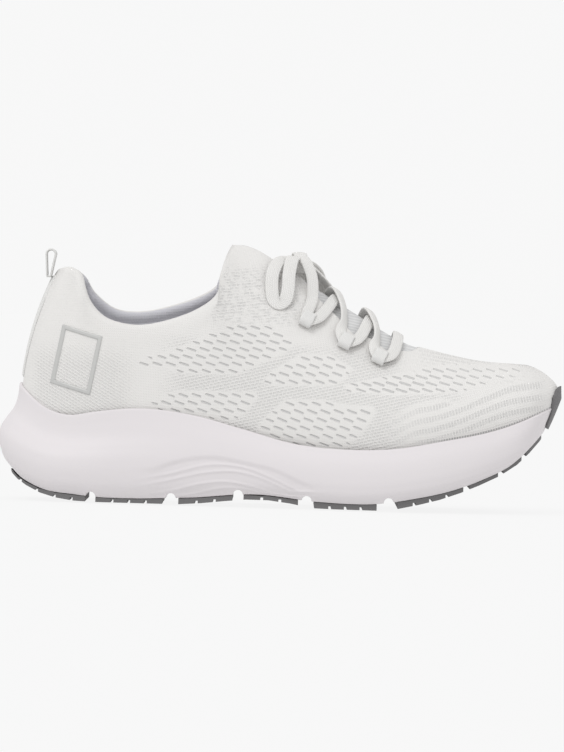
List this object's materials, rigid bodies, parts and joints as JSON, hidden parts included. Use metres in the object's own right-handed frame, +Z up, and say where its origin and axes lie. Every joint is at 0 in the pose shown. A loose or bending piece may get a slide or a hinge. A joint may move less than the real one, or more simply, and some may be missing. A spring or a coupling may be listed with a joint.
{
  "type": "running shoe",
  "caption": "Lace-up running shoe for the right foot: a sock-like knitted upper on a thick rockered foam sole with a segmented rubber tread.",
  "frame": {"origin": "on the floor, under the middle of the shoe's length and width", "axes": "+X towards the toe, +Y towards the medial side (the other foot), +Z up"},
  "size_m": [0.2809, 0.1013, 0.1293],
  "materials": {
    "midsole_foam": "moulded foam, satin, very light warm grey",
    "outsole_rubber": "moulded rubber, matt, mid grey",
    "knit": "engineered knit with open mesh fields, warm white",
    "rib_knit": "elastic rib knit, warm white",
    "lining": "brushed lining, pale bluish grey",
    "padding": "open-cell foam, white",
    "board": "stitched or pressed stiffening board, off-white",
    "webbing": "woven polyester webbing and lace, white",
    "aglet_plastic": "clear-coated lace tip, white",
    "badge_film": "heat-pressed film, silver grey"
  },
  "bodies": {
    "shoe": {"midsole": "midsole_foam", "heel_strike_pad": "outsole_rubber", "heel_pad_lateral": "outsole_rubber", "heel_pad_medial": "outsole_rubber", "arch_rear_pad_lateral": "outsole_rubber", "arch_rear_pad_medial": "outsole_rubber", "arch_front_pad_lateral": "outsole_rubber", "arch_front_pad_medial": "outsole_rubber", "ball_pad": "outsole_rubber", "forefoot_pad": "outsole_rubber", "toe_pad_1": "outsole_rubber", "toe_pad_2": "outsole_rubber", "toe_pad_3": "outsole_rubber", "toe_wrap": "outsole_rubber", "upper_knit": "knit", "throat_gusset": "rib_knit", "lining": "lining", "sockliner": "lining", "collar_foam": "padding", "strobel_board": "board", "heel_counter": "board", "toe_puff": "board", "eyestay_tape_lateral": "webbing", "eyestay_tape_medial": "webbing", "lace_loop_lateral_1": "webbing", "lace_loop_lateral_2": "webbing", "lace_loop_lateral_3": "webbing", "lace_loop_medial_1": "webbing", "lace_loop_medial_2": "webbing", "lace_loop_medial_3": "webbing", "lace": "webbing", "aglet_front": "aglet_plastic", "aglet_rear": "aglet_plastic", "heel_tape": "webbing", "heel_badge_lateral": "badge_film", "heel_badge_medial": "badge_film"},
    "pull_loop": {"pull_loop": "webbing"}
  },
  "joints": [
    {"name": "pull_loop_fold", "type": "hinge", "parent": "shoe", "child": "pull_loop", "pos_m": [-0.1173, 0, 0.1106], "axis": [0, 1, 0], "range_deg": [-75, 6], "stiffness_Nm_per_rad": 0.002}
  ]
}
